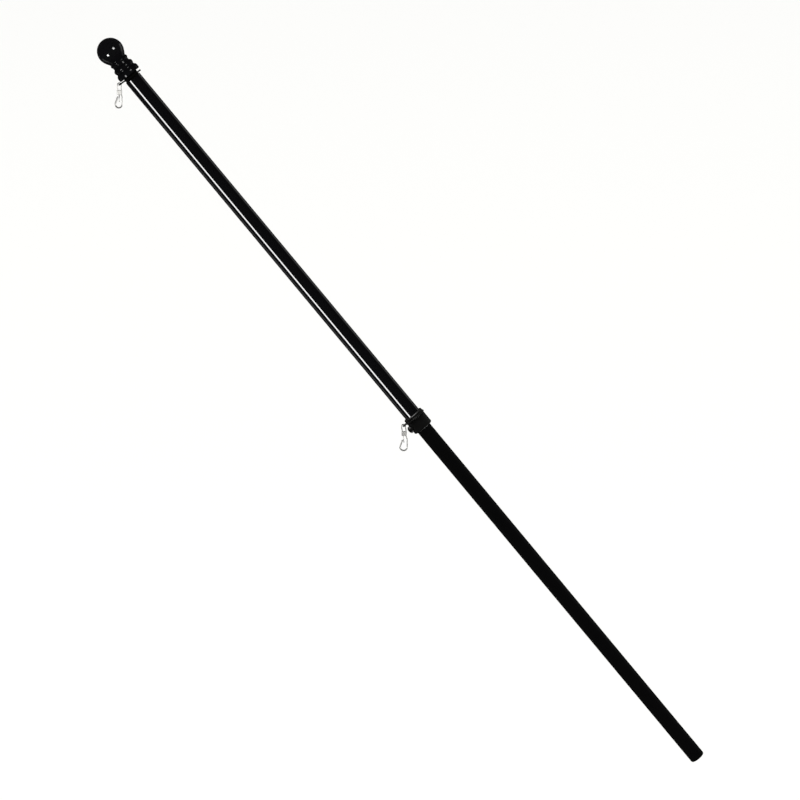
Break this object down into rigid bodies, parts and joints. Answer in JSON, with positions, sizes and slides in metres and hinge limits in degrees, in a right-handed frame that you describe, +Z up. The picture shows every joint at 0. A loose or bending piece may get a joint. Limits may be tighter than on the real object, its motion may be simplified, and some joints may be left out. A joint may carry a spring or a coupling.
{
  "type": "house flagpole",
  "caption": "Leaning black tube flagpole with a ball finial, free-spinning upper sleeve, stop collar and ringed snap clips that hold a flag's edge.",
  "frame": {"origin": "centre of the butt's flat end face, where the pole seats in its bracket", "axes": "+Z up; the pole lies in the XZ plane and leans 39.3 degrees from upright, finial towards -X; the clips hang along -Z"},
  "size_m": [0.982, 0.0432, 1.1913],
  "materials": {
    "satin_black": "satin black powder coat on aluminium tube",
    "gloss_black": "gloss black coat on thin aluminium tube",
    "mill_aluminium": "bare drawn tube",
    "black_plastic": "moulded, slightly satin",
    "gloss_plastic_black": "moulded, glossy",
    "blackened_steel": "black oxide",
    "stainless": "polished stainless wire"
  },
  "bodies": {
    "pole": {"lower_pole": "satin_black", "core_tube": "satin_black", "joint_spigot": "mill_aluminium", "butt_plug": "black_plastic", "stop_collar": "black_plastic", "collar_screw": "blackened_steel", "finial": "gloss_plastic_black"},
    "sleeve": {"spin_sleeve": "gloss_black", "sleeve_low_bushing": "black_plastic", "sleeve_top_bushing": "black_plastic"},
    "top_ring": {"top_lug_ring": "black_plastic"},
    "top_clip": {"top_clip_wire": "stainless", "top_clip_plate": "stainless"},
    "top_gate": {"top_clip_gate": "stainless"},
    "low_ring": {"low_lug_ring": "black_plastic"},
    "low_clip": {"low_clip_wire": "stainless", "low_clip_plate": "stainless"},
    "low_gate": {"low_clip_gate": "stainless"}
  },
  "joints": [
    {"name": "sleeve_spin", "type": "hinge", "parent": "pole", "child": "sleeve", "pos_m": [-0.69338, 0, 0.84714], "axis": [-0.6334, 0, 0.7738], "continuous": true},
    {"name": "top_ring_spin", "type": "hinge", "parent": "pole", "child": "top_ring", "pos_m": [-0.9191, 0, 1.12292], "axis": [-0.6334, 0, 0.7738], "continuous": true},
    {"name": "low_ring_spin", "type": "hinge", "parent": "pole", "child": "low_ring", "pos_m": [-0.46766, 0, 0.57137], "axis": [-0.6334, 0, 0.7738], "continuous": true},
    {"name": "top_clip_swing", "type": "hinge", "parent": "top_ring", "child": "top_clip", "pos_m": [-0.93833, 0, 1.10941], "axis": [0, 1, 0], "range_deg": [-30, 100]},
    {"name": "low_clip_swing", "type": "hinge", "parent": "low_ring", "child": "low_clip", "pos_m": [-0.48584, 0, 0.55648], "axis": [0, 1, 0], "range_deg": [-5, 110]},
    {"name": "top_gate_spring", "type": "hinge", "parent": "top_clip", "child": "top_gate", "pos_m": [-0.93873, 0, 1.09227], "axis": [0, 1, 0], "range_deg": [-13, 0], "stiffness_Nm_per_rad": 0.01},
    {"name": "low_gate_spring", "type": "hinge", "parent": "low_clip", "child": "low_gate", "pos_m": [-0.48624, 0, 0.53934], "axis": [0, 1, 0], "range_deg": [-13, 0], "stiffness_Nm_per_rad": 0.01}
  ]
}
